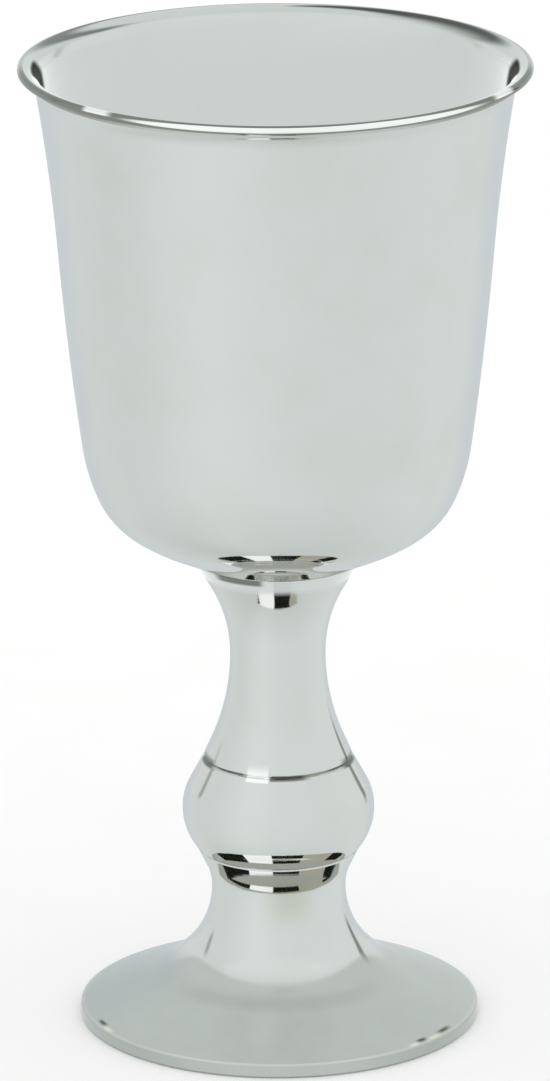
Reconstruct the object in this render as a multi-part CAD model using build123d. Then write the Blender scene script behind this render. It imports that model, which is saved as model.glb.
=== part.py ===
from build123d import *
import os
from math import cos, pi, radians, sin, sqrt, tan

# Communion chalice: a silver-plated cup on a waisted stem, a round knop and a trumpet foot.
# Every shell is spun or raised about the Z axis. One threaded rod down the middle draws the cup,
# stem, knop and foot together. Millimetres, +Z up, origin at the middle of the surface it stands on.
# Every shell is drawn as a radial section: X is the radius from the axis and Y is the height.

# Overall size
overall_height = 171.3
rim_radius = 44.0
foot_radius = 34.8

# Heights of the joints above and below the knop, which show as creases
stem_joint_height = 47.2
neck_joint_height = 30.8

# Cup: from the bead of the rim down the outside; an arc is (radius, turn in degrees)
cup_wall = 1.0
bead_radius = 0.7
lip_slope = 30.0
lip_length = 0.7
lip_arc = (4.6, 50.8)
flare_arc = (360.0, 4.5)
side_arc = (620.0, -3.2)
upper_turn_arc = (33.7, -15.6)
lower_turn_arc = (14.1, -32.9)
underside_arc = (33.0, -9.0)
cup_cone_length = 12.5
cup_bottom_corner = 4.0

# Stem, from its waist (radius, height) out to both ends
stem_wall = 0.9
stem_waist = (8.3, 66.1)
stem_upper_arc = (24.2, 30.4)
stem_lower_arc = (38.8, 24.1)

# Knop, from its equator in to both ends; its halves lap at the equator
knop_wall = 0.9
knop_equator = (16.75, 37.85)
knop_upper_arc = (9.86, -28.85)
knop_lower_arc = (10.85, -40.5)
lap_height = 1.2
lap_wall = 0.4

# Foot, from the waist of its neck
foot_wall = 1.0
neck_waist = (11.69, 23.4)
neck_arc = (9.7, 26.5)
trumpet_arc = (16.0, 43.0)
disc_arc = (26.0, 24.3)

# Edge ring of the foot, which holds the shell in a rebate
ring_inner_radius = 31.4
ring_seat_radius = 33.6
ring_rounding = 0.4

# Boss, discs and fasteners
rod_radius = 3.0
rod_bottom = 9.8
rod_top = 77.9
rod_chamfer = 0.6
thread_gap = 0.05
fit_gap = 0.05
clearance_hole_radius = 3.3
boss_top_radius = 8.4
boss_bottom_radius = 7.6
boss_bottom = 70.3
disc_half_thickness = 1.5
disc_step = 0.3
plate_bottom = 19.8
plate_thickness = 2.0
washer_radius = 6.0
washer_thickness = 1.6
spring_washer_slit = 1.0
spring_washer_slit_angle = 25.0
nut_across_flats = 10.0
nut_thickness = 5.0
nut_chamfer_angle = 30.0

# The fasteners stack down from the foot plate
washer_bottom = plate_bottom - washer_thickness
spring_washer_bottom = washer_bottom - washer_thickness
nut_bottom = spring_washer_bottom - nut_thickness

# Straight runs are drawn this long and then cut off where the next piece begins
spare_length = 12.0


# The point a distance away from another, in a direction in degrees
def stepped(point, angle, distance):
    return (point[0] + distance * cos(radians(angle)), point[1] + distance * sin(radians(angle)))


# A smooth open line and its end. A leg (radius, turn) is an arc and a leg (length, 0) is straight; turns to
# the left are positive. With an inset, the same line is drawn that far to the right.
def smooth_line(start, heading, legs, inset=0.0):
    point = stepped(start, heading - 90, inset)
    edges = []
    for size, turn in legs:
        if turn:
            radius = size + inset if turn > 0 else size - inset
            edge = JernArc(point, stepped((0, 0), heading, 1), radius, turn)
        else:
            edge = Line(point, stepped(point, heading, size))
        edges.append(edge)
        end = edge @ 1
        point = (end.X, end.Y)
        heading += turn
    return edges, point


# A wall that follows a smooth line: to its right, or to its left if the wall is negative
def wall_section(start, heading, legs, wall):
    outer_edges, outer_end = smooth_line(start, heading, legs)
    inner_edges, inner_end = smooth_line(start, heading, legs, wall)
    caps = [Line(start, stepped(start, heading - 90, wall)), Line(outer_end, inner_end)]
    return make_face(outer_edges + inner_edges + caps)


# A wall drawn both ways from its waist or equator. A positive turn leans outwards.
def two_way_section(middle, upper_arc, lower_arc, wall):
    upper_legs = [(upper_arc[0], -upper_arc[1]), (spare_length, 0)]
    lower_legs = [lower_arc, (spare_length, 0)]
    return wall_section(middle, 90, upper_legs, -wall) + wall_section(middle, -90, lower_legs, wall)


# A rectangle of the section from the axis out to a radius, between two heights
def window(radius, low, high):
    return Pos(0, low) * Rectangle(radius, high - low, align=Align.MIN)


# Radius of a waisted wall's outside, on the straight run beyond its arc
def flare_radius(waist, arc, height):
    size, lean = arc
    run_height = abs(height - waist[1]) - size * sin(radians(lean))
    return waist[0] + size * (1 - cos(radians(lean))) + run_height * tan(radians(lean))


# A body of revolution about the chalice's axis
def turned(section):
    return revolve(Plane.XZ * section, Axis.Z)


# A turned body with straight sides, from the corners of its section
def turned_polygon(*corners):
    return turned(make_face(Polyline(*corners, close=True)))


# Start, heading and legs of the cup's outside, from the bead to the middle of its bottom
def cup_line():
    bead_centre = (rim_radius - bead_radius, overall_height - bead_radius)
    heading = lip_slope - 180
    start = stepped(bead_centre, heading + 90, bead_radius)
    legs = [(lip_length, 0), lip_arc, flare_arc, side_arc, upper_turn_arc, lower_turn_arc]
    legs += [underside_arc, (cup_cone_length, 0)]
    cone_heading = heading + sum(turn for size, turn in legs)
    legs.append((cup_bottom_corner, -180 - cone_heading))
    bottom_radius = smooth_line(start, heading, legs)[1][0]
    legs.append((bottom_radius, 0))
    return start, heading, legs


# The cup as if it were solid, for fitting what stands under it
def full_cup():
    start, heading, legs = cup_line()
    edges, bottom = smooth_line(start, heading, legs)
    top = (0, start[1])
    return make_face(edges + [Line(bottom, top), Line(top, start)])


# Spun cup: turned-out lip with a rolled bead, nearly straight side, rounded turn and conical underside
def cup_bowl():
    bead = Pos(rim_radius - bead_radius, overall_height - bead_radius) * Circle(bead_radius)
    return turned(wall_section(*cup_line(), cup_wall) + bead)


# Boss soldered under the cup, tapped for the rod; its lower end centres the stem
def cup_boss():
    boss_top = smooth_line(*cup_line())[1][1]
    hole_radius = rod_radius + thread_gap
    hole_top = rod_top + rod_chamfer
    return turned_polygon(
        (0, boss_top),
        (boss_top_radius, boss_top),
        (boss_bottom_radius, boss_bottom),
        (hole_radius, boss_bottom),
        (hole_radius, hole_top),
        (0, hole_top),
    )


# Hollow waisted stem; its top ends on the cup's conical underside
def upper_stem():
    section = two_way_section(stem_waist, stem_upper_arc, stem_lower_arc, stem_wall)
    return turned(section & window(rim_radius, stem_joint_height, overall_height) - full_cup())


# The whole knop's wall, with its equator at the widest place
def knop_section():
    return two_way_section(knop_equator, knop_upper_arc, knop_lower_arc, knop_wall)


# Upper half of the knop, with a collar that drops inside the lower half
def knop_upper_half():
    equator_radius, equator_height = knop_equator
    inner_radius = equator_radius - knop_wall
    collar_wall = knop_wall - lap_wall - fit_gap
    collar_bottom = equator_height - lap_height + fit_gap
    collar = Pos(inner_radius, collar_bottom) * Rectangle(collar_wall, lap_height, align=Align.MIN)
    return turned(knop_section() & window(rim_radius, equator_height, stem_joint_height) + collar)


# Lower half of the knop, rebated inside for the collar
def knop_lower_half():
    equator_radius, equator_height = knop_equator
    rebate = window(equator_radius - lap_wall, equator_height - lap_height, equator_height)
    return turned(knop_section() & window(rim_radius, neck_joint_height, equator_height) - rebate)


# Bored disc that centres two shells where their mouths meet. Its taper fits the mouth of the flared
# shell, above it (side 1) or below it (side -1), and its plug fits the knop.
def locating_disc(waist, arc, wall, mouth_height, side):
    lean = radians(arc[1])
    mouth_radius = flare_radius(waist, arc, mouth_height) - wall / cos(lean) - fit_gap
    taper_end_radius = mouth_radius - disc_half_thickness * tan(lean)
    plug_radius = mouth_radius - disc_step
    taper_end = mouth_height + side * disc_half_thickness
    plug_end = mouth_height - side * disc_half_thickness
    return turned_polygon(
        (clearance_hole_radius, plug_end),
        (plug_radius, plug_end),
        (plug_radius, mouth_height),
        (mouth_radius, mouth_height),
        (taper_end_radius, taper_end),
        (clearance_hole_radius, taper_end),
    )


# Fall of the foot's conical disc per millimetre outwards
def disc_fall():
    return 1 / tan(radians(trumpet_arc[1] + disc_arc[1]))


# Outside height of the foot's disc at a radius
def disc_height(radius):
    end = smooth_line(neck_waist, -90, [trumpet_arc, disc_arc])[1]
    return end[1] - (radius - end[0]) * disc_fall()


# Neck, trumpet and disc of the foot, spun in one piece
def foot_shell():
    neck_legs = [(neck_arc[0], -neck_arc[1]), (spare_length, 0)]
    neck = wall_section(neck_waist, 90, neck_legs, -foot_wall)
    skirt = wall_section(neck_waist, -90, [trumpet_arc, disc_arc, (spare_length, 0)], foot_wall)
    return turned((neck + skirt) & window(ring_seat_radius, 0, neck_joint_height))


# Ring round the edge of the foot: it carries the disc's slope on to the edge, has a rebate for the shell
# and a flat underside to stand on
def foot_edge_ring():
    wall_height = foot_wall * sqrt(1 + disc_fall() ** 2)
    section = make_face(
        Polyline(
            (ring_inner_radius, 0),
            (foot_radius, 0),
            (foot_radius, disc_height(foot_radius)),
            (ring_seat_radius, disc_height(ring_seat_radius)),
            (ring_seat_radius, disc_height(ring_seat_radius) - wall_height),
            (ring_inner_radius, disc_height(ring_inner_radius) - wall_height),
            close=True,
        )
    )
    outer_corners = section.vertices().group_by(Axis.X)[-1]
    return turned(fillet(outer_corners, ring_rounding))


# Radius inside the neck at a height below its waist
def neck_bore(height):
    bend_radius = trumpet_arc[0] + foot_wall
    drop = neck_waist[1] - height
    return neck_waist[0] + trumpet_arc[0] - sqrt(bend_radius**2 - drop**2)


# Disc pulled up into the narrowing neck; the nut bears on it
def foot_plate():
    top = plate_bottom + plate_thickness
    return turned_polygon(
        (clearance_hole_radius, plate_bottom),
        (neck_bore(plate_bottom) - fit_gap, plate_bottom),
        (neck_bore(top) - fit_gap, top),
        (clearance_hole_radius, top),
    )


# Threaded rod, drawn at its outside diameter
def tie_rod():
    end_radius = rod_radius - rod_chamfer
    return turned_polygon(
        (0, rod_bottom),
        (end_radius, rod_bottom),
        (rod_radius, rod_bottom + rod_chamfer),
        (rod_radius, rod_top - rod_chamfer),
        (end_radius, rod_top),
        (0, rod_top),
    )


# A plain washer from a height upwards
def washer(bottom):
    top = bottom + washer_thickness
    return turned_polygon(
        (clearance_hole_radius, bottom),
        (washer_radius, bottom),
        (washer_radius, top),
        (clearance_hole_radius, top),
    )


# Spring washer, pressed flat: a washer with a slanting slit through one side
def spring_washer():
    slit = Rot(spring_washer_slit_angle) * Box(washer_radius, spring_washer_slit, nut_thickness)
    middle_height = spring_washer_bottom + washer_thickness / 2
    return washer(spring_washer_bottom) - Pos(washer_radius, 0, middle_height) * slit


# Hexagon nut with both ends chamfered
def base_nut():
    flat_radius = nut_across_flats / 2
    corner_radius = flat_radius / cos(pi / 6)
    chamfer_height = (corner_radius - flat_radius) * tan(radians(nut_chamfer_angle))
    bore_radius = rod_radius + thread_gap
    nut_top = nut_bottom + nut_thickness
    blank = turned_polygon(
        (bore_radius, nut_bottom),
        (flat_radius, nut_bottom),
        (corner_radius, nut_bottom + chamfer_height),
        (corner_radius, nut_top - chamfer_height),
        (flat_radius, nut_top),
        (bore_radius, nut_top),
    )
    hexagon = RegularPolygon(flat_radius, 6, major_radius=False)
    return blank & Pos(0, 0, nut_bottom) * extrude(hexagon, nut_thickness)


pieces = {
    "cup_bowl": cup_bowl(),
    "cup_boss": cup_boss(),
    "upper_stem": upper_stem(),
    "stem_locating_disc": locating_disc(stem_waist, stem_lower_arc, stem_wall, stem_joint_height, 1),
    "knop_upper_half": knop_upper_half(),
    "knop_lower_half": knop_lower_half(),
    "neck_locating_disc": locating_disc(neck_waist, neck_arc, foot_wall, neck_joint_height, -1),
    "foot_shell": foot_shell(),
    "foot_edge_ring": foot_edge_ring(),
    "foot_plate": foot_plate(),
    "tie_rod": tie_rod(),
    "base_washer": washer(washer_bottom),
    "spring_washer": spring_washer(),
    "base_nut": base_nut(),
}

os.makedirs("parts", exist_ok=True)
for node, solid in pieces.items():
    export_step(solid, f"parts/{node}.step")
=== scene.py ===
from collections import namedtuple
import math

import bpy
import numpy as np
from mathutils import Matrix, Vector


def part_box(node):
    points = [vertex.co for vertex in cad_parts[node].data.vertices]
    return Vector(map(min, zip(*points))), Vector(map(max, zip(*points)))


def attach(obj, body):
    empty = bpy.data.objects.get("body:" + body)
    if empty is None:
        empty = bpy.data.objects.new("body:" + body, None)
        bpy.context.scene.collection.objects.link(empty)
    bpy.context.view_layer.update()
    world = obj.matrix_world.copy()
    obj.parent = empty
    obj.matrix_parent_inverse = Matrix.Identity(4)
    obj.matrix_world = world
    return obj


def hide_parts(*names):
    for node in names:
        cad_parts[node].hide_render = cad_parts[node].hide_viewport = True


# Communion chalice in polished silver plate, in metres, standing at the origin with +Z up.
# Every shell is lathed again from the CAD model's own arcs, so that it mirrors without facets.

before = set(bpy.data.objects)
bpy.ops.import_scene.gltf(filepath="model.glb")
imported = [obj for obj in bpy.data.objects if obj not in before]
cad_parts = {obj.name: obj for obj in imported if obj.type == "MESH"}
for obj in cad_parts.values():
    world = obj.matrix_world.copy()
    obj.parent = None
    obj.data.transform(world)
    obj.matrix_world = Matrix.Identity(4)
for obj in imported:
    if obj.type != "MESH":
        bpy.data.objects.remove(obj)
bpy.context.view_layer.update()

MM = 0.001
TINY = 1e-7  # a length that counts as nothing

LATHE_STEPS = 288
SHARP_ANGLE = 30.0
ARC_STEP = 1.4 * MM
ARC_STEP_TURN = 3.0
STRAIGHT_STEP = 2.8 * MM
SPARE_LENGTH = 12 * MM  # outlines run on by this much past their last arc, and are then cut

# Radii of the rim and foot and heights of the joints come from the frame
RIM_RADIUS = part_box("cup_bowl")[1].x
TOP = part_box("cup_bowl")[1].z
STEM_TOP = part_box("upper_stem")[1].z
STEM_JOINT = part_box("knop_upper_half")[1].z
KNOP_EQUATOR = (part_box("knop_lower_half")[1].x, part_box("knop_lower_half")[1].z)
NECK_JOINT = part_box("knop_lower_half")[0].z
RING_SEAT_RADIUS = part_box("foot_shell")[1].x
FOOT_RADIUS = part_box("foot_edge_ring")[1].x

# Arcs are (radius, turn in degrees), with left turns positive. Waists are (radius, height)
CUP_WALL = 1.0 * MM
BEAD_RADIUS = 0.7 * MM
LIP_SLOPE = 30.0
LIP_DEPTH = 4.5 * MM  # from about this far below the rim, the inside wall bends over to the bead
LIP_END_HEADING = 8.0
CUP_LIP = [(0.7 * MM, 0), (4.6 * MM, 50.8)]
CUP_SIDE = [(360 * MM, 4.5), (620 * MM, -3.2)]
CUP_TURN = [(33.7 * MM, -15.6), (14.1 * MM, -32.9), (33 * MM, -9.0)]
CUP_ARCS = CUP_LIP + CUP_SIDE + CUP_TURN
CUP_CONE_LENGTH = 12.5 * MM
CUP_BOTTOM_CORNER = 4.0 * MM

STEM_WALL = 0.9 * MM
STEM_WAIST = (8.3 * MM, 66.1 * MM)
STEM_UPPER_ARC = (24.2 * MM, 30.4)
STEM_LOWER_ARC = (38.8 * MM, 24.1)

KNOP_WALL = 0.9 * MM
KNOP_UPPER_ARC = (9.86 * MM, -28.85)
KNOP_LOWER_ARC = (10.85 * MM, -40.5)
LAP_HEIGHT = 1.2 * MM
LAP_WALL = 0.4 * MM
LAP_GAP = 0.05 * MM

FOOT_WALL = 1.0 * MM
NECK_WAIST = (11.69 * MM, 23.4 * MM)
NECK_ARC = (9.7 * MM, 26.5)
TRUMPET_ARC = (16.0 * MM, 43.0)
DISC_ARC = (26.0 * MM, 24.3)
RING_INNER_RADIUS = 31.4 * MM
RING_ROUNDING = 0.4 * MM

# The shells' ends are rounded over, which makes the joints show as fine grooves
CUP_JOINT_ROUNDING = 0.08 * MM
STEM_END_ROUNDING = 0.45 * MM
KNOP_TOP_ROUNDING = 1.0 * MM
KNOP_BOTTOM_ROUNDING = 0.4 * MM
NECK_END_ROUNDING = 0.3 * MM
BROKEN_CORNER = 0.15 * MM

# Boss, discs and fasteners
CLEARANCE_RADIUS = 3.3 * MM
TAPPED_RADIUS = 3.05 * MM
BOSS_BOTTOM_RADIUS = 7.6 * MM
DISC_STEP = 0.3 * MM
PLATE_TOP_RADIUS = 10.71 * MM
ROD_CHAMFER = 0.6 * MM
ROD_STEPS = 48
THREAD_PITCH = 1.0 * MM
THREAD_DEPTH = 0.6 * MM
ROWS_PER_PITCH = 8
SLIT_WIDTH = 1.0 * MM
SLIT_ANGLE = 25.0
NUT_CHAMFER_RADIUS = 4.85 * MM
NUT_CHAMFER_ANGLE = 30.0
NUT_COUNTERSINK = 0.4 * MM
FASTENER_STEPS = 96

# Metals, and the tones of painted light, shade and reflection that are laid over the silver
MetalLook = namedtuple("MetalLook", "colour tarnished roughness grain scratch")
SILVER_LOOK = MetalLook((0.93, 0.94, 0.93), (0.90, 0.90, 0.88), roughness=0.045, grain=1.0, scratch=0.02)
BRASS_LOOK = MetalLook((0.80, 0.60, 0.28), (0.66, 0.47, 0.20), roughness=0.22, grain=3.0, scratch=0.1)
ZINC_LOOK = MetalLook((0.62, 0.64, 0.66), (0.52, 0.53, 0.55), roughness=0.3, grain=1.0, scratch=0.1)
TURNING_LINES_PER_METRE = 2600.0
SCRATCHES_PER_METRE = 1500.0
CLOUDS_PER_METRE = 60.0
MOTTLES_PER_METRE = 220.0
SCRATCH_TURN = (0.5, 0.9, 0.3)
SCRATCH_STRETCH = (1.0, 1.0, 9.0)
BUMP_DEPTH = 0.02 * MM
BUMP_STRENGTH = 0.15
FRONT_FADE = (0.92, 0.98)  # painted reflections, highlights and shade fade in between these cosines of the angle off the camera
BLACK = (0, 0, 0, 1)
WHITE = (1, 1, 1, 1)
PAINTED_SHADE_BLACK = (0.02, 0.02, 0.015, 1)
PAINTED_SHADE_TONE = (0.06, 0.06, 0.05, 1)
UNDER_CUP_SHADE_TONE = (0.05, 0.05, 0.04, 1)
RIM_PAINTED_DARK = (0.14, 0.14, 0.11, 1)
RIM_PAINTED_BRIGHT = (1, 1, 0.98, 1)
WARM_REFLECTION_TINT = (0.82, 0.82, 0.75, 1)
PALE_REFLECTION_TONE = (0.62, 0.655, 0.645, 1)
DISC_REFLECTION_TONE = (0.462, 0.505, 0.480, 1)
DISC_LEFT_REFLECTION_TONE = (0.38, 0.42, 0.43, 1)
DISC_EDGE_ON_SHADE_TONE = (0.19, 0.21, 0.21, 1)
DISC_MOTTLE_TONE = (0.34, 0.37, 0.35, 1)
DISC_FOLD_SHADE_TONE = (0.37, 0.405, 0.38, 1)
FOOT_EDGE_HIGHLIGHT_TONE = (0.70, 0.74, 0.70, 1)
FOOT_FACE_SHADE_TONE = (0.34, 0.37, 0.34, 1)
STANDING_SHADOW_TONE = (0.12, 0.13, 0.11, 1)
GLINT_DARK_TONE = (0.03, 0.03, 0.02, 1)
GLINT_LIGHT_TONE = (0.78, 0.76, 0.62, 1)

# Shares of self-lit painted reflection in calm silver, roughness added there, and strengths of the painted
# shade and highlights
INSIDE_PAINTED_REFLECTION = 0.5
STEM_PAINTED_REFLECTION = 0.9
DISC_PAINTED_REFLECTION = 0.92
INSIDE_HAZE = 0.12
DISC_HAZE = 0.2
DARK_REFLECTION_DEPTH = 0.85
RIM_HIGHLIGHT_GLOW = 0.27
CREASE_HIGHLIGHT_GLOW = 0.3

# Stage
ROOM_GLOW = (1.1, 1.1, 1.1, 1)
PANEL_GREY = (0.42, 0.44, 0.42)
PANEL_DARK = (0.008, 0.01, 0.006)
PANEL_WHITE = (1.0, 1.0, 1.0)
PANEL_BEIGE = (0.40, 0.39, 0.32)
PANEL_SEAM_TONE = (0.9, 0.92, 0.86, 1)
PANEL_TOP_TONE = (0.62, 0.65, 0.63, 1)
PANEL_FOOT_TONE = (0.37, 0.385, 0.35, 1)
PANEL_FLOOR_TONE = (0.56, 0.59, 0.57, 1)
OVERHEAD_TONE = (0.71, 0.74, 0.73, 1)
BEHIND_TONE = (0.60, 0.645, 0.665, 1)
GAP_TONE = (0.10, 0.10, 0.09, 1)
BACKDROP_ELEVATION = 55.0
TABLE_HALF_WIDTH = 6.0
TABLE_DROP = 0.02 * MM
CAMERA_ELEVATION = 17.1
CAMERA_DISTANCE = 1.511
CAMERA_TARGET = (-0.0004, 0, 0.08625)
CAMERA_LENS = 290.7
CAMERA_ROLL = -0.25


# ---- Outlines: a run is a list of (radius, height, heading) samples with no corner inside it ----


def stepped(point, heading, distance):
    """The point at a distance from another, along a heading in degrees."""
    angle = math.radians(heading)
    return (point[0] + distance * math.cos(angle), point[1] + distance * math.sin(angle))


def smooth_run(start, heading, legs, inset=0.0):
    """Samples along arcs (radius, turn) and straights (length, 0), drawn inset to the right if asked."""
    point = stepped(start, heading - 90, inset)
    run = [(*point, heading)]
    for size, turn in legs:
        if turn:
            side = math.copysign(1, turn)
            radius = size + side * inset
            centre = stepped(point, heading + 90 * side, radius)
            arc_length = radius * math.radians(abs(turn))
            count = max(2, math.ceil(abs(turn) / ARC_STEP_TURN), math.ceil(arc_length / ARC_STEP))
            for i in range(1, count + 1):
                turned = heading + turn * i / count
                run.append((*stepped(centre, turned - 90 * side, radius), turned))
        else:
            count = max(1, math.ceil(size / STRAIGHT_STEP))
            run += [(*stepped(point, heading, size * i / count), heading) for i in range(1, count + 1)]
        point = run[-1][:2]
        heading += turn
    return run


def straight(start, end):
    """A run of one straight edge."""
    heading = math.degrees(math.atan2(end[1] - start[1], end[0] - start[0]))
    return [(*start[:2], heading), (*end[:2], heading)]


def backwards(run):
    """The same run drawn from its other end."""
    return [(r, z, heading + 180) for r, z, heading in reversed(run)]


def between(first, second, share):
    """The sample at a share of the way from one sample to another."""
    return tuple(a + (b - a) * share for a, b in zip(first, second))


def cut_at_height(run, height):
    """The part of a run before it crosses a height, ending on it."""
    for i in range(1, len(run)):
        low, high = run[i - 1], run[i]
        if (low[1] - height) * (high[1] - height) <= 0 and low[1] != height:
            return run[:i] + [between(low, high, (height - low[1]) / (high[1] - low[1]))]
    return run


def cut_at_radius(run, radius):
    """The part of a run before it crosses a radius, ending on it."""
    swapped = [(z, r, heading) for r, z, heading in run]
    return [(r, z, heading) for z, r, heading in cut_at_height(swapped, radius)]


def bent_end(run, new_heading, radius):
    """A run with its straight end trimmed back and bent round to a new heading."""
    corner, heading = run[-1][:2], run[-1][2]
    turn = (new_heading - heading + 180) % 360 - 180
    trim = radius * math.tan(math.radians(abs(turn) / 2))
    kept = [p for p in run if math.dist(p[:2], corner) > trim]
    return kept + smooth_run(stepped(corner, heading + 180, trim), heading, [(radius, turn)])


def closed_outline(runs):
    """Joins runs end to end into one loop, with straight edges where they don't meet."""
    joined = []
    for i, run in enumerate(runs):
        joined.append(run)
        following = runs[(i + 1) % len(runs)]
        if math.dist(run[-1][:2], following[0][:2]) > TINY:
            joined.append(straight(run[-1], following[0]))
    return joined


def broken_corners(corners, size):
    """A loop of straight edges with every corner off the axis cut off by a small flat."""
    runs = []
    for i, corner in enumerate(corners):
        before, after = corners[i - 1], corners[(i + 1) % len(corners)]
        entry = straight(corner, before)[0][2]
        leave = straight(corner, after)[0][2]
        if corner[0] < TINY:
            runs.append([(*corner, leave)])
        else:
            runs.append(straight(stepped(corner, entry, size), stepped(corner, leave, size)))
    return closed_outline(runs)


# ---- Meshes ----


def new_piece(name, node, vertices, faces, materials, normals=None, finishes=None):
    """A piece that rides on the frame and stands for a CAD node. Finishes number each face's material."""
    mesh = bpy.data.meshes.new(name)
    mesh.from_pydata(vertices, [], faces)
    mesh.polygons.foreach_set("use_smooth", [True] * len(mesh.polygons))
    for material in materials:
        mesh.materials.append(material)
    if finishes is not None:
        mesh.polygons.foreach_set("material_index", finishes)
    if normals is not None:
        mesh.normals_split_custom_set(normals)
    else:
        mesh.set_sharp_from_angle(angle=math.radians(SHARP_ANGLE))
    piece = bpy.data.objects.new(name, mesh)
    bpy.context.scene.collection.objects.link(piece)
    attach(piece, "root")
    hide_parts(node)


def outline_edges(runs):
    """Each edge's first point, and the headings at both its ends."""
    points, headings = [], []
    for run in runs:
        for start, end in zip(run, run[1:]):
            points.append(start[:2])
            headings.append((start[2], end[2]))
    return points, headings


def rings_of(points, directions):
    """A ring of vertices for each point, or one on the axis, and the number that each ring starts at."""
    vertices, first = [], []
    for radius, height in points:
        first.append(len(vertices))
        if radius < TINY:
            vertices.append((0, 0, height))
        else:
            vertices += [(radius * x, radius * y, height) for x, y in directions]
    return vertices, first


def lathe(name, node, runs, materials, finish_at=None):
    """Turns a closed outline about Z. Each face takes its normals from the outline's own headings."""
    points, headings = outline_edges(runs)
    angles = np.linspace(0, 2 * math.pi, LATHE_STEPS, endpoint=False)
    directions = [(math.cos(a), math.sin(a)) for a in angles]
    vertices, first = rings_of(points, directions)
    on_axis = [radius < TINY for radius, height in points]

    def vertex(j, i):
        return first[j] if on_axis[j] else first[j] + i % LATHE_STEPS

    def normal(heading, i):
        across, up = -math.sin(math.radians(heading)), math.cos(math.radians(heading))
        x, y = directions[i % LATHE_STEPS]
        return (across * x, across * y, up)

    faces, normals, finishes = [], [], []
    for j, (start_heading, end_heading) in enumerate(headings):
        k = (j + 1) % len(points)
        if on_axis[j] and on_axis[k]:
            continue
        finish = finish_at(*points[j], start_heading) if finish_at else 0
        for i in range(LATHE_STEPS):
            corners = [
                (j, i, start_heading),
                (k, i, end_heading),
                (k, i + 1, end_heading),
                (j, i + 1, start_heading),
            ]
            if on_axis[j]:
                corners = corners[:3]
            elif on_axis[k]:
                corners = [corners[0], corners[1], corners[3]]
            faces.append([vertex(p, a) for p, a, heading in corners])
            normals += [normal(heading, a) for p, a, heading in corners]
            finishes.append(finish)
    new_piece(name, node, vertices, faces, materials, normals, finishes)


def sweep(name, node, material, loops, closed):
    """A solid through equal loops of points, either closed in a ring or capped at both ends."""
    count = len(loops[0])
    vertices = [point for loop in loops for point in loop]
    faces = []
    for i in range(len(loops) if closed else len(loops) - 1):
        here, there = i * count, (i + 1) % len(loops) * count
        for j in range(count):
            k = (j + 1) % count
            faces.append((here + j, here + k, there + k, there + j))
    if not closed:
        faces.append(tuple(reversed(range(count))))
        faces.append(tuple(range(len(vertices) - count, len(vertices))))
    new_piece(name, node, vertices, faces, [material])


# ---- Materials ----


class Nodes:
    """A short way to build a node tree."""

    def __init__(self, tree):
        tree.nodes.clear()
        self.tree = tree

    def add(self, kind, inputs=None, **settings):
        node = self.tree.nodes.new(kind)
        for key, value in settings.items():
            setattr(node, key, value)
        for key, value in (inputs or {}).items():
            if isinstance(value, bpy.types.NodeSocket):
                self.tree.links.new(value, node.inputs[key])
            else:
                node.inputs[key].default_value = value
        return node

    def math(self, operation, *values):
        return self.add("ShaderNodeMath", dict(enumerate(values)), operation=operation).outputs[0]

    def times(self, product, *others):
        for value in others:
            product = self.math("MULTIPLY", product, value)
        return product

    def plus(self, first, second):
        return self.math("ADD", first, second)

    def largest(self, first, second):
        return self.math("MAXIMUM", first, second)

    def absolute(self, value):
        return self.math("ABSOLUTE", value)

    def remainder(self, share):
        """What a share leaves of 1."""
        return self.math("SUBTRACT", 1.0, share)

    def spread(self, value, low, high, new_low=0.0, new_high=1.0):
        """A soft step from one value to another between two limits, in either direction."""
        settings = {0: value, 1: low, 2: high, 3: new_low, 4: new_high}
        return self.add("ShaderNodeMapRange", settings, interpolation_type="SMOOTHSTEP").outputs[0]

    def band(self, value, low, low_in, high_in, high):
        """1 inside a band with soft edges, and 0 outside it."""
        return self.times(self.spread(value, low, low_in), self.spread(value, high, high_in))

    def ramp(self, factor, stops, interpolation="EASE"):
        node = self.add("ShaderNodeValToRGB", {0: factor})
        ramp = node.color_ramp
        ramp.interpolation = interpolation
        while len(ramp.elements) < len(stops):
            ramp.elements.new(0.5)
        for element, (position, colour) in zip(ramp.elements, stops):
            element.position = position
            element.color = (*colour, 1)
        return node.outputs[0]

    def angle_ramp(self, angle, reach, stops, interpolation):
        """A ramp over an angle that runs from -reach to reach, with its stops in degrees too."""
        share = self.math("DIVIDE", self.plus(angle, reach), 2 * reach)
        stops = [((at + reach) / (2 * reach), colour) for at, colour in stops]
        return self.ramp(share, stops, interpolation)

    def mix(self, factor, first, second, blend="MIX"):
        inputs = {0: factor, 6: first, 7: second}
        return self.add("ShaderNodeMix", inputs, data_type="RGBA", blend_type=blend).outputs[2]

    def place(self):
        return self.add("ShaderNodeTexCoord").outputs["Object"]

    def parts(self, vector):
        return self.add("ShaderNodeSeparateXYZ", {0: vector}).outputs

    def noise(self, place, scale, detail):
        inputs = {"Vector": place, "Scale": scale, "Detail": detail}
        return self.add("ShaderNodeTexNoise", inputs).outputs[0]

    def closeness(self, direction, aim):
        """Cosine of the angle between two directions."""
        node = self.add("ShaderNodeVectorMath", {0: direction, 1: aim}, operation="DOT_PRODUCT")
        return node.outputs["Value"]


def new_material(name):
    material = bpy.data.materials.new(name)
    material.use_nodes = True
    return material, Nodes(material.node_tree)


def mm_from(base, *distances):
    """Places at distances in millimetres from a base in metres."""
    return [base + distance * MM for distance in distances]


def azimuth_of(nodes, x, y):
    """Angle round the axis from the camera's side, positive to the right, in degrees."""
    return nodes.math("DEGREES", nodes.math("ARCTAN2", x, nodes.times(y, -1.0)))


def axis_distance(nodes, x, y):
    return nodes.math("SQRT", nodes.plus(nodes.times(x, x), nodes.times(y, y)))


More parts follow.
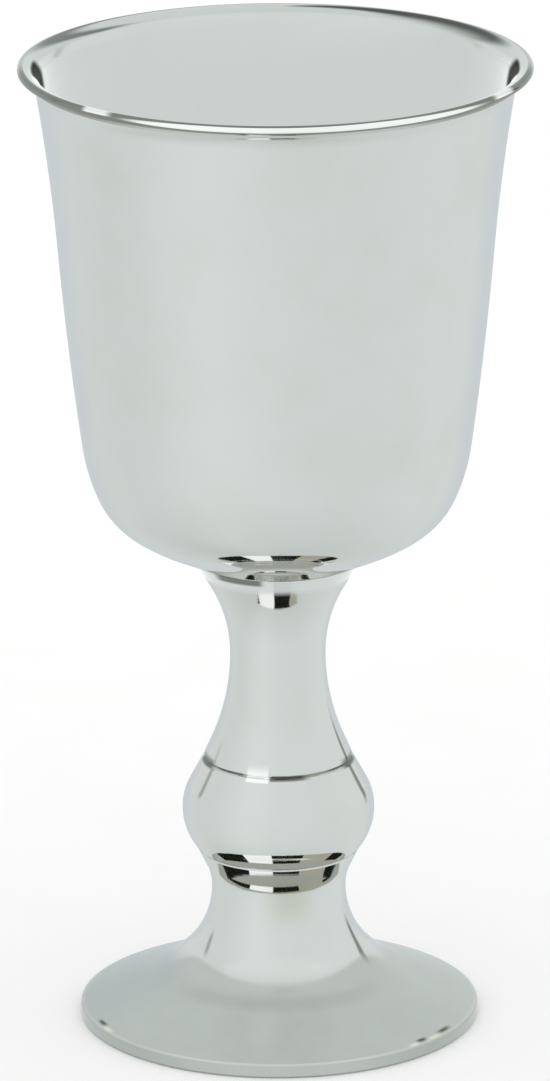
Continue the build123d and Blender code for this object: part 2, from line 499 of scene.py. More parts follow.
def round_place(nodes):
    """Azimuth, distance from the axis and height of the shaded point."""
    x, y, z = nodes.parts(nodes.place())
    return azimuth_of(nodes, x, y), axis_distance(nodes, x, y), z


def sky_angles(nodes, direction):
    """Azimuth and elevation of a direction, in degrees."""
    x, y, z = nodes.parts(direction)
    return azimuth_of(nodes, x, y), nodes.math("DEGREES", nodes.math("ARCSINE", z))


def mirrored_angles(nodes):
    """Azimuth and elevation of what the shaded point mirrors."""
    return sky_angles(nodes, nodes.add("ShaderNodeTexCoord").outputs["Reflection"])


def patch(nodes, across, up, across_stops, up_stops):
    """A soft-edged patch of places or directions. Stops are (outer, inner, inner, outer)."""
    return nodes.times(nodes.band(across, *across_stops), nodes.band(up, *up_stops))


def seen_directly(nodes):
    """1 where the camera sees the surface itself, 0 where it sees it mirrored."""
    return nodes.math("LESS_THAN", nodes.add("ShaderNodeLightPath").outputs["Glossy Depth"], 0.5)


def seen_from_front(nodes):
    """1 where the surface is looked at from about the camera's place, 0 from elsewhere."""
    toward_eye = nodes.add("ShaderNodeNewGeometry").outputs["Incoming"]
    elevation = math.radians(CAMERA_ELEVATION)
    front = (0.0, -math.cos(elevation), math.sin(elevation))
    return nodes.spread(nodes.closeness(toward_eye, front), *FRONT_FADE)


def metal_surface(nodes, look):
    """Shader inputs of metal with turning lines, fine scratches and a breath of tarnish."""
    place = nodes.place()
    x, y, z = nodes.parts(place)
    section = nodes.add("ShaderNodeCombineXYZ", {0: axis_distance(nodes, x, y), 1: 0.0, 2: z}).outputs[0]
    lines = nodes.noise(section, TURNING_LINES_PER_METRE, 3.0)
    clouds = nodes.noise(place, CLOUDS_PER_METRE, 4.0)
    slanted = nodes.add("ShaderNodeMapping", {0: place, 2: SCRATCH_TURN, 3: SCRATCH_STRETCH})
    scratches = nodes.noise(slanted.outputs[0], SCRATCHES_PER_METRE, 2.0)
    tone = nodes.mix(nodes.spread(clouds, 0.4, 0.75), (*look.colour, 1), (*look.tarnished, 1))
    worn = nodes.times(nodes.spread(scratches, 0.55, 0.8), look.scratch)
    haze = nodes.times(nodes.spread(clouds, 0.35, 0.7), 0.35 * look.roughness)
    rough = nodes.plus(nodes.plus(worn, haze), look.roughness)
    height = nodes.plus(nodes.times(lines, look.grain), nodes.times(scratches, 0.3 * look.grain))
    relief = {"Height": height, "Strength": BUMP_STRENGTH, "Distance": BUMP_DEPTH}
    bump = nodes.add("ShaderNodeBump", relief).outputs[0]
    return {"Base Color": tone, "Metallic": 1.0, "Roughness": rough, "Normal": bump}


def finish_material(nodes, surface, painted_shade=0.0):
    """Puts the metal's shader on the material, faded to matt black, a painted shade, where the last argument
    is 1.
    """
    metal = nodes.add("ShaderNodeBsdfPrincipled", surface).outputs[0]
    black = nodes.add("ShaderNodeBsdfDiffuse", {"Color": PAINTED_SHADE_BLACK}).outputs[0]
    shader = nodes.add("ShaderNodeMixShader", {0: painted_shade, 1: metal, 2: black}).outputs[0]
    nodes.add("ShaderNodeOutputMaterial", {"Surface": shader})


def metal_material(name, look):
    material, nodes = new_material(name)
    finish_material(nodes, metal_surface(nodes, look))
    return material


def lip_shade(nodes, azimuth, elevation):
    """The two shaded places at the back of the lip, one on each side."""
    right = patch(nodes, azimuth, elevation, (-179, -174, -162, -95), (20, 31, 56, 70))
    ridge = nodes.plus(nodes.times(azimuth, -0.33), 83.0)
    away = nodes.absolute(nodes.math("SUBTRACT", elevation, ridge))
    left = nodes.times(nodes.spread(away, 10, 2), nodes.spread(azimuth, 96, 120))
    return nodes.plus(nodes.times(right, 0.9), nodes.times(left, 0.7))


def inside_dark_reflection(nodes, turn, radius):
    """Painted dark reflections inside the cup at both ends of the rim."""
    radii = mm_from(RIM_RADIUS, -4.6, -4.1, -2.7, -2.1)
    dark_reflection = patch(nodes, nodes.absolute(turn), radius, (80, 84, 94, 99), radii)
    return nodes.times(dark_reflection, seen_from_front(nodes))


def inside_material():
    """Silver inside the cup: softly polished, with a glowing painted pale reflection in place of mirroring,
    which fades to dark where it mirrors itself from close by, painted shade near the lip and painted dark
    reflections at both ends of the rim.
    """
    material, nodes = new_material("cup_inside_silver")
    surface = metal_surface(nodes, SILVER_LOOK)
    direct = seen_directly(nodes)
    turn, radius, height = round_place(nodes)
    dark_reflection = inside_dark_reflection(nodes, turn, radius)
    near_lip = nodes.spread(height, *mm_from(TOP, -13.3, -7.3))
    lip = nodes.times(lip_shade(nodes, *mirrored_angles(nodes)), near_lip)
    shade = nodes.times(nodes.largest(lip, dark_reflection), direct)
    surface["Roughness"] = nodes.plus(surface["Roughness"], nodes.times(direct, INSIDE_HAZE))
    far = nodes.spread(nodes.add("ShaderNodeLightPath").outputs["Ray Length"], 3 * MM, 16 * MM)
    calm = nodes.plus(nodes.times(direct, INSIDE_PAINTED_REFLECTION), nodes.times(far, nodes.remainder(direct)))
    # painted reflection: the silver glows a pale tone, less where the painted shade lies
    surface["Emission Color"] = PALE_REFLECTION_TONE
    surface["Emission Strength"] = nodes.times(calm, nodes.remainder(shade))
    # painted shade: the base colour darkens under the lip shade and the dark reflections, and is dimmed or
    # black where the painted glow stands in
    lit = nodes.mix(shade, surface["Base Color"], PAINTED_SHADE_TONE)
    lit = nodes.mix(INSIDE_PAINTED_REFLECTION, lit, BLACK)
    surface["Base Color"] = nodes.mix(direct, BLACK, lit)
    # painted shade: where the painted dark reflections lie, the metal fades to matt black
    finish_material(nodes, surface, nodes.times(dark_reflection, direct, DARK_REFLECTION_DEPTH))
    return material


def rim_material():
    """Silver of the bead, with a glowing painted reflection of the bright front of the room, painted dark
    reflections at both sides and above, and two painted glints.
    """
    material, nodes = new_material("rim_silver")
    surface = metal_surface(nodes, SILVER_LOOK)
    turn, _, height = round_place(nodes)
    side = nodes.absolute(turn)
    azimuth, elevation = mirrored_angles(nodes)
    front = nodes.band(azimuth, -78, -60, 92, 112)
    low = nodes.spread(elevation, 74, 66)
    near = nodes.spread(side, 92, 80)
    crown = mm_from(TOP, -0.7, -0.5, 0.1, 0.2)
    left_glint = patch(nodes, turn, height, (-48, -46, -41, -38), crown)
    right_glint = patch(nodes, turn, height, (56, 59, 64, 67), crown)
    glint = nodes.times(nodes.largest(left_glint, right_glint), seen_from_front(nodes))
    bright = nodes.largest(nodes.times(front, low, near), glint)
    dark = nodes.times(near, nodes.remainder(bright), 0.75)
    shade = nodes.times(lip_shade(nodes, azimuth, elevation), nodes.spread(side, 92, 100))
    # painted dark reflections at the sides and above, and a glowing painted highlight of the bright front
    # with two painted glints
    surface["Base Color"] = nodes.mix(nodes.plus(dark, shade), surface["Base Color"], RIM_PAINTED_DARK)
    surface["Emission Color"] = RIM_PAINTED_BRIGHT
    surface["Emission Strength"] = nodes.times(bright, RIM_HIGHLIGHT_GLOW)
    finish_material(nodes, surface)
    return material


def painted_crease_light(nodes, turn, height):
    """The painted highlight of a white patch, and the painted shade of a dark line and wedges, that gather
    in the crease between stem and knop.
    """
    white = patch(nodes, turn, height, (-26, -24, -8.5, -7), mm_from(STEM_JOINT, -1.0, -0.7, 0, 2.4))
    line = patch(nodes, turn, height, (-7, -6, 16, 28), mm_from(STEM_JOINT, -0.7, -0.4, 0, 0.1))
    wedge_heights = mm_from(STEM_JOINT, -0.8, -0.3, 0.4, 1.4)
    wedges = patch(nodes, nodes.absolute(turn), height, (55, 66, 85, 95), wedge_heights)
    shown = seen_from_front(nodes)
    return nodes.times(white, shown), nodes.times(nodes.largest(line, wedges), 0.75, shown)


def knop_material():
    """Silver of the knop, with painted shade and a painted highlight along its upper crease."""
    material, nodes = new_material("knop_silver")
    surface = metal_surface(nodes, SILVER_LOOK)
    turn, _, height = round_place(nodes)
    white, dark = painted_crease_light(nodes, turn, height)
    surface["Base Color"] = nodes.mix(dark, surface["Base Color"], PAINTED_SHADE_TONE)
    surface["Emission Color"] = WHITE
    surface["Emission Strength"] = nodes.times(white, CREASE_HIGHLIGHT_GLOW)
    finish_material(nodes, surface)
    return material


def stem_material():
    """Silver of the stem: a glowing painted pale reflection just under the cup, and painted shade and
    highlights along the creases at both its ends.
    """
    material, nodes = new_material("stem_silver")
    surface = metal_surface(nodes, SILVER_LOOK)
    turn, _, height = round_place(nodes)
    # painted reflection: just under the cup the silver glows a pale tone in place of mirroring
    near_top = nodes.spread(height, *mm_from(STEM_TOP, -3.5, -1.9))
    calm = nodes.times(near_top, seen_directly(nodes), STEM_PAINTED_REFLECTION)
    white, dark = painted_crease_light(nodes, turn, height)
    base = nodes.mix(dark, surface["Base Color"], PAINTED_SHADE_TONE)
    surface["Base Color"] = nodes.mix(calm, base, BLACK)
    # painted shade: a dark line just under the cup, seen only from the front
    under_cup = patch(nodes, turn, height, (-52, -42, -14, -8), mm_from(STEM_TOP, -1.5, -0.9, 0.7, 1.7))
    under_cup = nodes.times(under_cup, seen_from_front(nodes), 0.85)
    tone = nodes.mix(under_cup, PALE_REFLECTION_TONE, UNDER_CUP_SHADE_TONE)
    surface["Emission Color"] = nodes.mix(white, tone, WHITE)
    surface["Emission Strength"] = nodes.plus(calm, nodes.times(white, CREASE_HIGHLIGHT_GLOW))
    finish_material(nodes, surface)
    return material


def painted_disc_reflection(nodes, turn, radius, shown):
    """Painted reflection on the foot's disc: cooler on the left, darker where it is seen edge-on, and softly
    mottled.
    """
    left_side = nodes.times(nodes.spread(turn, -45, -90), shown)
    tone = nodes.mix(left_side, DISC_REFLECTION_TONE, DISC_LEFT_REFLECTION_TONE)
    facing = nodes.add("ShaderNodeLayerWeight").outputs["Facing"]
    edge_on = nodes.times(nodes.spread(facing, 0.6, 0.9), 0.5)
    tone = nodes.mix(edge_on, tone, DISC_EDGE_ON_SHADE_TONE)
    mottle = nodes.spread(nodes.noise(nodes.place(), MOTTLES_PER_METRE, 5.0), 0.35, 0.65)
    tone = nodes.mix(nodes.times(mottle, 0.1), tone, DISC_MOTTLE_TONE)
    # painted shade in front, along the fold where the trumpet runs out into the disc
    fold = nodes.band(radius, *mm_from(0, 19, 20.5, 21, 23))
    fold = nodes.times(fold, nodes.spread(nodes.absolute(turn), 65, 35), shown, 0.5)
    return nodes.mix(fold, tone, DISC_FOLD_SHADE_TONE)


def painted_edge_light(nodes, tone, turn, radius, height):
    """The tone with a painted highlight on the foot's edge, painted shade on its outer face and a dark
    painted shadow line where it stands, laid over it.
    """
    side = nodes.absolute(turn)
    pale = nodes.band(radius, *mm_from(FOOT_RADIUS, -0.8, -0.5, -0.3, -0.05))
    pale = nodes.times(pale, nodes.spread(side, 20, 50, 0.5, 0.15))
    tone = nodes.mix(pale, tone, FOOT_EDGE_HIGHLIGHT_TONE)
    face = nodes.spread(radius, *mm_from(FOOT_RADIUS, -0.2, -0.02))
    face = nodes.times(face, nodes.spread(side, 15, 50, 0.0, 0.6))
    tone = nodes.mix(face, tone, FOOT_FACE_SHADE_TONE)
    standing_shadow = nodes.times(nodes.spread(height, *mm_from(0, 0.5, 0.1)), 0.8)
    return nodes.mix(standing_shadow, tone, STANDING_SHADOW_TONE)


def edge_glints(nodes, tone, turn, radius, shown):
    """The tone with painted glints along the foot's edge: short dark reflections, each with a light one
    nearer the front.
    """
    dark_radii = mm_from(FOOT_RADIUS, -1.7, -1.2, -1.1, -0.5)
    light_radii = mm_from(FOOT_RADIUS, -1.3, -0.8, -0.6, -0.2)
    for middle, length in ((-66, 4), (58, 5), (47, 3)):
        ends = (middle - length, middle - 0.5, middle + 0.5, middle + length)
        dark = nodes.times(patch(nodes, turn, radius, ends, dark_radii), shown, 0.9)
        tone = nodes.mix(dark, tone, GLINT_DARK_TONE)
        toward_front = math.copysign(1.2 * length, -middle)
        ends = [end + toward_front for end in ends]
        light = nodes.times(patch(nodes, turn, radius, ends, light_radii), shown, 0.7)
        tone = nodes.mix(light, tone, GLINT_LIGHT_TONE)
    return tone


def foot_material():
    """Silver of the foot, polished on the neck and softer out on the disc, with a painted warm reflection on
    the neck, a glowing painted reflection on the disc and painted glints on its edge.
    """
    material, nodes = new_material("foot_silver")
    surface = metal_surface(nodes, SILVER_LOOK)
    turn, radius, height = round_place(nodes)
    shown = seen_from_front(nodes)
    # painted reflection: out on the disc the silver glows its painted tone in place of mirroring
    disc = nodes.times(nodes.spread(radius, *mm_from(0, 15.5, 20)), seen_directly(nodes))
    calm = nodes.times(disc, DISC_PAINTED_REFLECTION)
    # painted reflection: a warm tint on the neck, seen only from the front
    warm_reflection = patch(nodes, turn, height, (-20, 4, 12, 38), mm_from(NECK_WAIST[1], -5.4, 0.6, 2.1, 8.1))
    tint = nodes.mix(nodes.times(warm_reflection, shown), surface["Base Color"], WARM_REFLECTION_TINT)
    surface["Base Color"] = nodes.mix(calm, tint, BLACK)
    surface["Roughness"] = nodes.plus(surface["Roughness"], nodes.times(disc, DISC_HAZE))
    tone = painted_disc_reflection(nodes, turn, radius, shown)
    tone = painted_edge_light(nodes, tone, turn, radius, height)
    surface["Emission Color"] = edge_glints(nodes, tone, turn, radius, shown)
    surface["Emission Strength"] = calm
    finish_material(nodes, surface)
    return material


SILVER = metal_material("polished_silver", SILVER_LOOK)
INSIDE = inside_material()
RIM = rim_material()
FOOT = foot_material()
STEM = stem_material()
KNOP = knop_material()
BRASS = metal_material("turned_brass", BRASS_LOOK)
ZINC = metal_material("zinc_steel", ZINC_LOOK)


# ---- The shells ----


def tangent_of(degrees):
    """Tangent of an angle in degrees."""
    return math.tan(math.radians(degrees))


def cup_line():
    """Start, heading and legs of the cup's outside, from the bead to the middle of its bottom."""
    bead_centre = (RIM_RADIUS - BEAD_RADIUS, TOP - BEAD_RADIUS)
    heading = LIP_SLOPE - 180
    start = stepped(bead_centre, heading + 90, BEAD_RADIUS)
    legs = CUP_ARCS + [(CUP_CONE_LENGTH, 0)]
    cone_heading = heading + sum(turn for size, turn in legs)
    legs = legs + [(CUP_BOTTOM_CORNER, -180 - cone_heading)]
    bottom_radius = smooth_run(start, heading, legs)[-1][0]
    return start, heading, legs + [(bottom_radius, 0)]


def bent_lip(inside, bead_start):
    """The inside wall, bent over near its top by one arc that runs into the top of the bead."""
    wall_end = next(p for p in reversed(inside) if p[1] < bead_start[1] - LIP_DEPTH)
    rise = wall_end[2]
    along = (math.cos(math.radians(rise)), math.sin(math.radians(rise)))
    across = along[1] - math.sin(math.radians(LIP_END_HEADING))
    up = math.cos(math.radians(LIP_END_HEADING)) - along[0]
    gap = (bead_start[0] - wall_end[0], bead_start[1] - wall_end[1])
    straight_length = (gap[0] * up - gap[1] * across) / (along[0] * up - along[1] * across)
    bend_radius = (gap[0] - along[0] * straight_length) / across
    lip = smooth_run(wall_end[:2], rise, [(straight_length, 0), (bend_radius, LIP_END_HEADING - rise)])
    return inside[:inside.index(wall_end)] + lip


def cup():
    """The spun cup: polished outside, softer inside, with a rolled bead round its rim."""
    start, heading, legs = cup_line()
    outside = smooth_run(start, heading, legs)
    bead_centre = (RIM_RADIUS - BEAD_RADIUS, TOP - BEAD_RADIUS)
    bead_start = stepped(bead_centre, LIP_END_HEADING + 90, BEAD_RADIUS)
    inside = bent_lip(backwards(smooth_run(start, heading, legs, CUP_WALL)), bead_start)
    bead = smooth_run(bead_start, LIP_END_HEADING, [(BEAD_RADIUS, heading - LIP_END_HEADING)])
    bead[-1] = (*start, heading)
    materials = [SILVER, INSIDE, RIM]

    def finish_at(radius, height, heading):
        if math.dist((radius, height), bead_centre) < 1.05 * BEAD_RADIUS:
            return materials.index(RIM)
        return materials.index(INSIDE if math.cos(math.radians(heading)) > 0 else SILVER)

    runs = closed_outline([outside, inside, bead])
    lathe("spun_cup", "cup_bowl", runs, materials, finish_at)


def cone_height(radius):
    """Height of the cup's conical underside at a radius."""
    start, heading, legs = cup_line()
    top_radius, top_height, cone_heading = smooth_run(start, heading, CUP_ARCS)[-1]
    return top_height - (top_radius - radius) * tangent_of(cone_heading)


def cut_at_cone(run):
    """The part of a run below the cup's conical underside, ending on it."""
    kept = [p for p in run if p[1] < cone_height(p[0])]
    last, following = kept[-1], run[len(kept)]
    last_gap = cone_height(last[0]) - last[1]
    following_gap = cone_height(following[0]) - following[1]
    return kept + [between(last, following, last_gap / (last_gap - following_gap))]


def stem():
    """The hollow waisted stem, cut at its top to the cup's conical underside."""
    up_legs = [(STEM_UPPER_ARC[0], -STEM_UPPER_ARC[1]), (SPARE_LENGTH, 0)]
    down_legs = [STEM_LOWER_ARC, (SPARE_LENGTH, 0)]
    cone_heading = LIP_SLOPE + sum(turn for size, turn in CUP_ARCS)
    outside_up = cut_at_cone(smooth_run(STEM_WAIST, 90, up_legs))
    outside_up = bent_end(outside_up, cone_heading + 180, CUP_JOINT_ROUNDING)
    inside_up = cut_at_cone(smooth_run(STEM_WAIST, 90, up_legs, -STEM_WALL))
    outside_down = cut_at_height(smooth_run(STEM_WAIST, -90, down_legs), STEM_JOINT)
    outside_down = bent_end(outside_down, 180, STEM_END_ROUNDING)
    inside_down = cut_at_height(smooth_run(STEM_WAIST, -90, down_legs, STEM_WALL), STEM_JOINT)
    outside = backwards(outside_up)[:-1] + outside_down
    inside = backwards(inside_down)[:-1] + inside_up
    lathe("waisted_stem", "upper_stem", closed_outline([outside, inside]), [STEM])


def knop_top():
    """The knop's upper half, with the collar at its equator that laps inside the lower half."""
    radius, equator = KNOP_EQUATOR
    legs = [(KNOP_UPPER_ARC[0], -KNOP_UPPER_ARC[1]), (SPARE_LENGTH, 0)]
    outside = cut_at_height(smooth_run(KNOP_EQUATOR, 90, legs), STEM_JOINT)
    outside = bent_end(outside, 180, KNOP_TOP_ROUNDING)
    inside = cut_at_height(smooth_run(KNOP_EQUATOR, 90, legs, -KNOP_WALL), STEM_JOINT)
    collar_radius = radius - LAP_WALL - LAP_GAP
    collar_bottom = equator - LAP_HEIGHT + LAP_GAP
    collar = [
        (radius, equator),
        (collar_radius, equator),
        (collar_radius, collar_bottom),
        (radius - KNOP_WALL, collar_bottom),
    ]
    collar_runs = [straight(a, b) for a, b in zip(collar, collar[1:])]
    outline = closed_outline([backwards(outside), *collar_runs, inside])
    lathe("knop_top", "knop_upper_half", outline, [KNOP])


def knop_bottom():
    """The knop's lower half, rebated inside at its equator for the upper half's collar."""
    radius, equator = KNOP_EQUATOR
    legs = [KNOP_LOWER_ARC, (SPARE_LENGTH, 0)]
    outside = cut_at_height(smooth_run(KNOP_EQUATOR, -90, legs), NECK_JOINT)
    outside = bent_end(outside, 180, KNOP_BOTTOM_ROUNDING)
    inside = cut_at_height(smooth_run(KNOP_EQUATOR, -90, legs, KNOP_WALL), NECK_JOINT)
    inside = [p for p in inside if p[1] < equator - LAP_HEIGHT]
    lap_radius = radius - LAP_WALL
    rebate = straight((lap_radius, equator - LAP_HEIGHT), (lap_radius, equator))
    outline = closed_outline([outside, backwards(inside), rebate])
    lathe("knop_bottom", "knop_lower_half", outline, [SILVER])


def foot():
    """The foot's spun shell. Gives the two ends of the seat where the edge ring meets it."""
    up_legs = [(NECK_ARC[0], -NECK_ARC[1]), (SPARE_LENGTH, 0)]
    down_legs = [TRUMPET_ARC, DISC_ARC, (SPARE_LENGTH, 0)]
    outside_up = cut_at_height(smooth_run(NECK_WAIST, 90, up_legs), NECK_JOINT)
    outside_up = bent_end(outside_up, 180, NECK_END_ROUNDING)
    inside_up = cut_at_height(smooth_run(NECK_WAIST, 90, up_legs, -FOOT_WALL), NECK_JOINT)
    outside_down = cut_at_radius(smooth_run(NECK_WAIST, -90, down_legs), RING_SEAT_RADIUS)
    inside_down = cut_at_radius(smooth_run(NECK_WAIST, -90, down_legs, FOOT_WALL), RING_SEAT_RADIUS)
    outside = backwards(outside_up)[:-1] + outside_down
    inside = backwards(inside_down)[:-1] + inside_up
    lathe("trumpet_foot", "foot_shell", closed_outline([outside, inside]), [FOOT])
    return outside_down[-1], inside_down[-1][:2]


def edge_ring(seat_top, seat):
    """The flat ring under the foot's edge, which carries the slope of the disc on to a rounded rim."""
    heading = seat_top[2]
    fall = -tangent_of(heading)
    edge_height = seat_top[1] - (FOOT_RADIUS - seat_top[0]) * fall
    top_turn = 90 + heading
    trim = RING_ROUNDING * tangent_of(top_turn / 2)
    shoulder = stepped((FOOT_RADIUS, edge_height), heading + 180, trim)
    side_length = edge_height - trim - RING_ROUNDING
    legs = [(RING_ROUNDING, -top_turn), (side_length, 0), (RING_ROUNDING, -90)]
    rim = smooth_run(shoulder, heading, legs)
    inner_top = (RING_INNER_RADIUS, seat[1] + (seat[0] - RING_INNER_RADIUS) * fall)
    inner_bottom = (RING_INNER_RADIUS, 0)
    runs = [
        straight(seat_top, shoulder)[:1] + rim,
        straight(rim[-1], inner_bottom),
        straight(inner_bottom, inner_top),
        straight(inner_top, seat),
    ]
    lathe("edge_ring", "foot_edge_ring", closed_outline(runs), [FOOT])


# ---- What holds the shells together, inside ----


def span(node):
    """Bottom, top and largest radius of a turned CAD piece."""
    low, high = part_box(node)
    return low.z, high.z, high.y


def boss():
    """The boss under the cup, tapped from below for the rod."""
    bottom, top, radius = span("cup_boss")
    hole_top = span("tie_rod")[1] + ROD_CHAMFER
    corners = [
        (radius, top),
        (BOSS_BOTTOM_RADIUS, bottom),
        (TAPPED_RADIUS, bottom),
        (TAPPED_RADIUS, hole_top),
        (0, hole_top),
        (0, top),
    ]
    lathe("cup_boss", "cup_boss", broken_corners(corners, BROKEN_CORNER), [BRASS])


def locating_disc(name, joint, lean, taper_above):
    """A disc across a joint. Its taper fits the flared mouth on one side, its plug the knop on the other."""
    bottom, top, radius = span(name)
    taper_end = radius - (top - bottom) / 2 * tangent_of(lean)
    plug = radius - DISC_STEP
    if taper_above:
        outside = [(taper_end, top), (radius, joint), (plug, joint), (plug, bottom)]
    else:
        outside = [(plug, top), (plug, joint), (radius, joint), (taper_end, bottom)]
    corners = [(CLEARANCE_RADIUS, top), *outside, (CLEARANCE_RADIUS, bottom)]
    lathe(name, name, broken_corners(corners, BROKEN_CORNER / 2), [BRASS])


def flat_ring(node, material, top_radius=None):
    """A plate or washer round the rod, tapered if its top has a radius of its own."""
    bottom, top, radius = span(node)
    corners = [
        (CLEARANCE_RADIUS, top),
        (top_radius or radius, top),
        (radius, bottom),
        (CLEARANCE_RADIUS, bottom),
    ]
    lathe(node, node, broken_corners(corners, BROKEN_CORNER), [material])


def around(angle, section):
    """A section's (radius, height) points, turned about the axis to an angle."""
    return [(r * math.cos(angle), r * math.sin(angle), height) for r, height in section]


def rod():
    """The threaded rod, with its thread as one long spiral groove."""
    bottom, top, radius = span("tie_rod")
    rows = round((top - bottom) / THREAD_PITCH * ROWS_PER_PITCH)
    loops = []
    for row in range(rows + 1):
        height = bottom + (top - bottom) * row / rows
        end_radius = radius - ROD_CHAMFER + min(height - bottom, top - height, ROD_CHAMFER)
        loop = []
        for step in range(ROD_STEPS):
            phase = (height / THREAD_PITCH - step / ROD_STEPS) % 1
            thread_radius = radius - THREAD_DEPTH * abs(2 * phase - 1)
            loop += around(2 * math.pi * step / ROD_STEPS, [(min(end_radius, thread_radius), height)])
        loops.append(loop)
    sweep("tie_rod", "tie_rod", ZINC, loops, closed=False)


def split_washer():
    """The spring washer, swept from one slanted side of its slit round to the other."""
    bottom, top, radius = span("spring_washer")
    middle = (bottom + top) / 2
    half_slit = SLIT_WIDTH / 2 / math.cos(math.radians(SLIT_ANGLE))
    section = [(CLEARANCE_RADIUS, top), (radius, top), (radius, bottom), (CLEARANCE_RADIUS, bottom)]
    section = [run[0][:2] for run in broken_corners(section, BROKEN_CORNER)]
    loops = []
    for step in range(FASTENER_STEPS + 1):
        loop = []
        for r, height in section:
            lean = tangent_of(SLIT_ANGLE) * (middle - height)
            first = math.asin((lean + half_slit) / r)
            last = 2 * math.pi + math.asin((lean - half_slit) / r)
            loop += around(first + (last - first) * step / FASTENER_STEPS, [(r, height)])
        loops.append(loop)
    sweep("spring_washer", "spring_washer", ZINC, loops, closed=False)


def nut():
    """The hexagon nut, chamfered and countersunk on both faces."""
    bottom, top, flat_radius = span("base_nut")
    mouth_radius = TAPPED_RADIUS + NUT_COUNTERSINK
    loops = []
    for step in range(FASTENER_STEPS):
        angle = 2 * math.pi * step / FASTENER_STEPS
        side_radius = flat_radius / math.cos(angle % (math.pi / 3) - math.pi / 6)
        drop = (side_radius - NUT_CHAMFER_RADIUS) * tangent_of(NUT_CHAMFER_ANGLE)
        section = [
            (TAPPED_RADIUS, top - NUT_COUNTERSINK),
            (mouth_radius, top),
            (NUT_CHAMFER_RADIUS, top),
            (side_radius, top - drop),
            (side_radius, bottom + drop),
            (NUT_CHAMFER_RADIUS, bottom),
            (mouth_radius, bottom),
            (TAPPED_RADIUS, bottom + NUT_COUNTERSINK),
        ]
        loops.append(around(angle, section))
    sweep("base_nut", "base_nut", ZINC, loops, closed=True)


cup()
stem()
knop_top()
knop_bottom()
edge_ring(*foot())
boss()
locating_disc("stem_locating_disc", STEM_JOINT, STEM_LOWER_ARC[1], taper_above=True)
locating_disc("neck_locating_disc", NECK_JOINT, NECK_ARC[1], taper_above=False)
flat_ring("foot_plate", BRASS, PLATE_TOP_RADIUS)
rod()
flat_ring("base_washer", ZINC)
split_washer()
nut()


# ---- Stage, light and camera ----


def panel_colours(nodes, azimuth, elevation):
    """The dark, white and beige panels of the room, seen only where the metal mirrors itself."""
    stops = [
        (-180, PANEL_DARK),
        (-158, PANEL_WHITE),
        (-140, PANEL_GREY),
        (-114, PANEL_DARK),
        (-58, PANEL_WHITE),
        (-12, PANEL_DARK),
        (38, PANEL_BEIGE),
        (92, PANEL_DARK),
        (124, PANEL_GREY),
        (145, PANEL_WHITE),
        (165, PANEL_DARK),
    ]
    panels = nodes.angle_ramp(azimuth, 180.0, stops, "CONSTANT")
    seam = nodes.band(elevation, 21.5, 22.5, 23.5, 24.5)
    panels = nodes.mix(seam, panels, PANEL_SEAM_TONE)
    lower = nodes.mix(nodes.spread(elevation, -62, -40), PANEL_FLOOR_TONE, PANEL_FOOT_TONE)
    panels = nodes.mix(nodes.spread(elevation, 3.5, 5), lower, panels)
    return nodes.mix(nodes.spread(elevation, 47, 49), panels, PANEL_TOP_TONE)


def tent_tones(nodes, azimuth, elevation):
    """The tent's cloth: paler upwards, with soft folds round it."""
    tones = [(-90, 0.54), (-60, 0.605), (-35, 0.655), (0, 0.665), (40, 0.67), (90, 0.68)]
    tones = [(at, (tone, tone * 1.055, tone * 1.035)) for at, tone in tones]
    cloth = nodes.angle_ramp(elevation, 90.0, tones, "LINEAR")
    folds = [
        (-180, 1.0), (-135, 0.99), (-100, 0.94), (-70, 0.99), (-38, 1.08),
        (0, 1.0), (60, 0.98), (110, 1.03), (180, 1.0),
    ]
    # the ramp holds half of each fold's tone, and the product is doubled after it
    folds = [(at, (tone / 2,) * 3) for at, tone in folds]
    cloth = nodes.mix(1.0, cloth, nodes.angle_ramp(azimuth, 180.0, folds, "B_SPLINE"), "MULTIPLY")
    return nodes.mix(1.0, cloth, (2, 2, 2, 1), "MULTIPLY")


def with_backdrop(nodes, tent, direction):
    """The tent with a round grey backdrop above and behind."""
    elevation = math.radians(BACKDROP_ELEVATION)
    closeness = nodes.closeness(direction, (0.0, math.cos(elevation), math.sin(elevation)))
    greys = [(0.66, (0.50, 0.54, 0.52)), (0.78, (0.56, 0.60, 0.58)), (1.0, (0.58, 0.62, 0.60))]
    return nodes.mix(nodes.spread(closeness, 0.645, 0.685), tent, nodes.ramp(closeness, greys))


def calm_colours(nodes, direction, azimuth, elevation):
    """The pale tent that the metal mirrors directly."""
    tent = tent_tones(nodes, azimuth, elevation)
    # bright panel overhead in front
    ahead = nodes.spread(nodes.absolute(azimuth), 105, 85)
    overhead = nodes.spread(elevation, 42, 52)
    tent = nodes.mix(nodes.times(ahead, overhead), tent, OVERHEAD_TONE)
    # cooler behind, near the table
    _, y, z = nodes.parts(direction)
    cool = nodes.times(nodes.spread(y, 0.55, 0.9), nodes.spread(z, 0.05, -0.1))
    tent = nodes.mix(cool, tent, BEHIND_TONE)
    tent = with_backdrop(nodes, tent, direction)
    # two narrow dark gaps at the sides
    left_gap = patch(nodes, azimuth, elevation, (-123, -119, -117, -113), (4, 12, 20, 30))
    right_gap = patch(nodes, azimuth, elevation, (127, 131, 134, 138), (-10, 2, 18, 28))
    gaps = nodes.plus(nodes.times(left_gap, 0.5), nodes.times(right_gap, 0.75))
    return nodes.mix(gaps, tent, GAP_TONE)


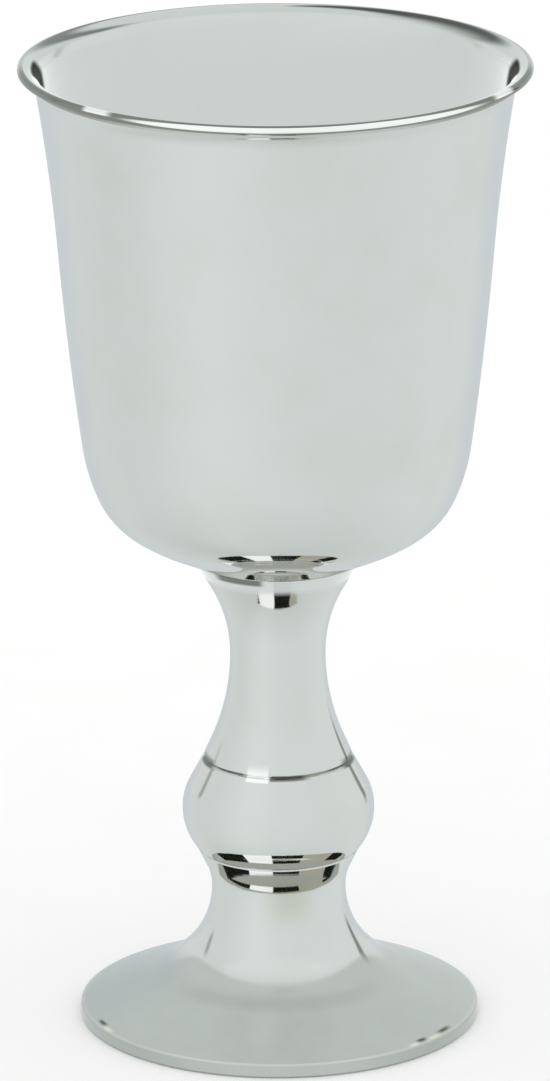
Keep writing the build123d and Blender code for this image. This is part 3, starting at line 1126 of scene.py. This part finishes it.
def studio_world():
    """A pale light tent, white to the eye. Panels show in the metal only by a second mirroring."""
    world = bpy.data.worlds.new("light_tent")
    bpy.context.scene.world = world
    world.use_nodes = True
    nodes = Nodes(world.node_tree)
    direction = nodes.add("ShaderNodeTexCoord").outputs["Generated"]
    azimuth, elevation = sky_angles(nodes, direction)
    path = nodes.add("ShaderNodeLightPath").outputs
    twice = nodes.math("GREATER_THAN", path["Glossy Depth"], 1.5)
    calm = calm_colours(nodes, direction, azimuth, elevation)
    mirrored = nodes.mix(twice, calm, panel_colours(nodes, azimuth, elevation))
    colour = nodes.mix(path["Is Glossy Ray"], ROOM_GLOW, mirrored)
    background = nodes.add("ShaderNodeBackground", {"Color": colour, "Strength": 1.0}).outputs[0]
    nodes.add("ShaderNodeOutputWorld", {"Surface": background})
    world.cycles.sampling_method = "NONE"


def floor():
    """A pale table top. The metal does not mirror it, but mirrors the lower half of the tent instead."""
    material, nodes = new_material("pale_table")
    mottle = nodes.noise(nodes.place(), 40.0, 3.0)
    colour = nodes.ramp(mottle, [(0.3, (0.915, 0.915, 0.91)), (0.7, (0.925, 0.925, 0.925))])
    shader = nodes.add("ShaderNodeBsdfDiffuse", {"Color": colour}).outputs[0]
    nodes.add("ShaderNodeOutputMaterial", {"Surface": shader})
    mesh = bpy.data.meshes.new("table_top")
    signs = ((-1, -1), (1, -1), (1, 1), (-1, 1))
    corners = [(x * TABLE_HALF_WIDTH, y * TABLE_HALF_WIDTH, -TABLE_DROP) for x, y in signs]
    mesh.from_pydata(corners, [], [(0, 1, 2, 3)])
    mesh.materials.append(material)
    table = bpy.data.objects.new("table_top", mesh)
    bpy.context.scene.collection.objects.link(table)
    table.visible_glossy = False


def camera():
    """The camera in front, about half a metre up and looking down, with a long lens."""
    data = bpy.data.cameras.new("camera")
    data.lens = CAMERA_LENS
    data.sensor_width = 36.0
    data.clip_end = 50.0
    eye = bpy.data.objects.new("camera", data)
    bpy.context.scene.collection.objects.link(eye)
    bpy.context.scene.camera = eye
    elevation = math.radians(CAMERA_ELEVATION)
    back = Vector((0, -math.cos(elevation), math.sin(elevation)))
    turn = (-back).to_track_quat("-Z", "Y").to_matrix().to_4x4()
    roll = Matrix.Rotation(math.radians(CAMERA_ROLL), 4, "Z")
    eye.matrix_world = Matrix.Translation(Vector(CAMERA_TARGET) + back * CAMERA_DISTANCE) @ turn @ roll


studio_world()
floor()
camera()
bpy.context.scene.view_settings.view_transform = "Standard"
bpy.context.scene.cycles.glossy_bounces = 8
